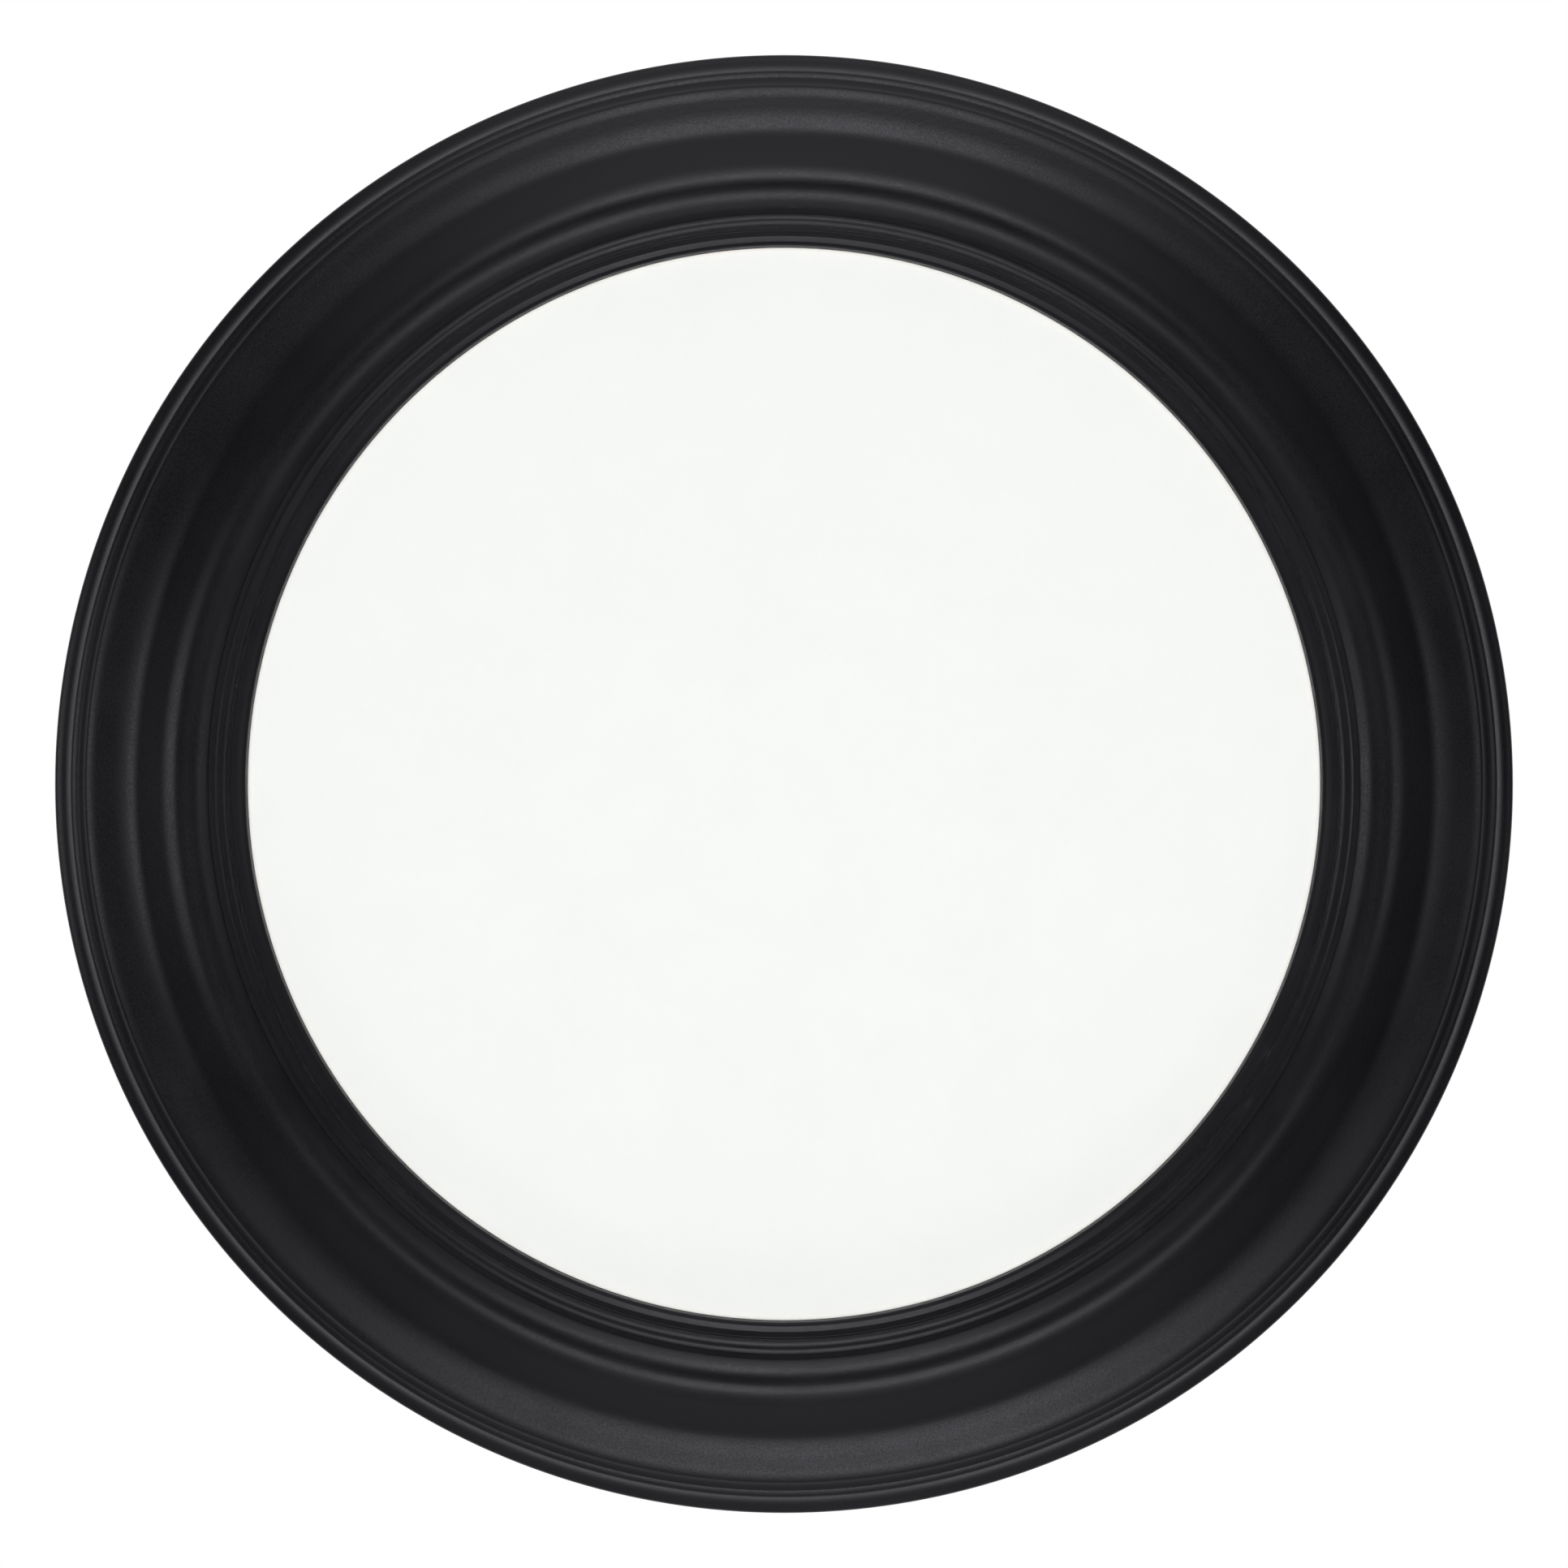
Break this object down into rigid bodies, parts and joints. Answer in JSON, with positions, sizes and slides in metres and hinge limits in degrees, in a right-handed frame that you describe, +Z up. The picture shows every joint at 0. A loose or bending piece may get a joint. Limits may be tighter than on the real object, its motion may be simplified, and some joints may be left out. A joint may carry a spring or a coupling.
{
  "type": "round photo frame",
  "caption": "Round black moulded wall frame for a round picture, with glass, backing held by turn buttons, a hinged D-ring hanger and bumpers.",
  "frame": {"origin": "where a wall hook bears, inside the top of the hanger's D-ring, as the frame hangs", "axes": "+Z up as hung, +Y out of the back towards the wall, the front faces -Y"},
  "size_m": [0.3982, 0.0316, 0.3982],
  "materials": {
    "black_lacquer": "satin black lacquer on turned pine, bare on the back",
    "beech_spline": "plain beech, glued",
    "clear_glass": "clear picture glass with seamed edges",
    "white_card": "smooth white print paper, blank",
    "corrugated_card": "brown corrugated card",
    "hardboard": "smooth-faced hardboard",
    "zinc_steel": "bright zinc-plated steel",
    "black_rubber": "soft black rubber"
  },
  "bodies": {
    "frame": {"moulding_arc_1": "black_lacquer", "moulding_arc_2": "black_lacquer", "moulding_arc_3": "black_lacquer", "moulding_arc_4": "black_lacquer", "moulding_arc_5": "black_lacquer", "moulding_arc_6": "black_lacquer", "moulding_arc_7": "black_lacquer", "moulding_arc_8": "black_lacquer", "arc_splines": "beech_spline", "glass_disc": "clear_glass", "photo_sheet": "white_card", "filler_board": "corrugated_card", "backing_board": "hardboard", "turn_button_screws": "zinc_steel", "hanger_strap": "zinc_steel", "hanger_screws": "zinc_steel", "wall_bumpers": "black_rubber"},
    "turn_button_1": {"turn_button_1": "zinc_steel"},
    "turn_button_2": {"turn_button_2": "zinc_steel"},
    "turn_button_3": {"turn_button_3": "zinc_steel"},
    "turn_button_4": {"turn_button_4": "zinc_steel"},
    "turn_button_5": {"turn_button_5": "zinc_steel"},
    "turn_button_6": {"turn_button_6": "zinc_steel"},
    "hanger_ring": {"hanger_ring": "zinc_steel"}
  },
  "joints": [
    {"name": "turn_button_1_turn", "type": "hinge", "parent": "frame", "child": "turn_button_1", "pos_m": [-0.161, -0.00158, -0.1951], "axis": [0, 1, 0], "continuous": true},
    {"name": "turn_button_2_turn", "type": "hinge", "parent": "frame", "child": "turn_button_2", "pos_m": [-0.0805, -0.00158, -0.05567], "axis": [0, 1, 0], "continuous": true},
    {"name": "turn_button_3_turn", "type": "hinge", "parent": "frame", "child": "turn_button_3", "pos_m": [0.0805, -0.00158, -0.05567], "axis": [0, 1, 0], "continuous": true},
    {"name": "turn_button_4_turn", "type": "hinge", "parent": "frame", "child": "turn_button_4", "pos_m": [0.161, -0.00158, -0.1951], "axis": [0, 1, 0], "continuous": true},
    {"name": "turn_button_5_turn", "type": "hinge", "parent": "frame", "child": "turn_button_5", "pos_m": [0.0805, -0.00158, -0.33453], "axis": [0, 1, 0], "continuous": true},
    {"name": "turn_button_6_turn", "type": "hinge", "parent": "frame", "child": "turn_button_6", "pos_m": [-0.0805, -0.00158, -0.33453], "axis": [0, 1, 0], "continuous": true},
    {"name": "hanger_ring_swing", "type": "hinge", "parent": "frame", "child": "hanger_ring", "pos_m": [0, 0, -0.01], "axis": [-1, 0, 0], "range_deg": [-4, 165]}
  ]
}
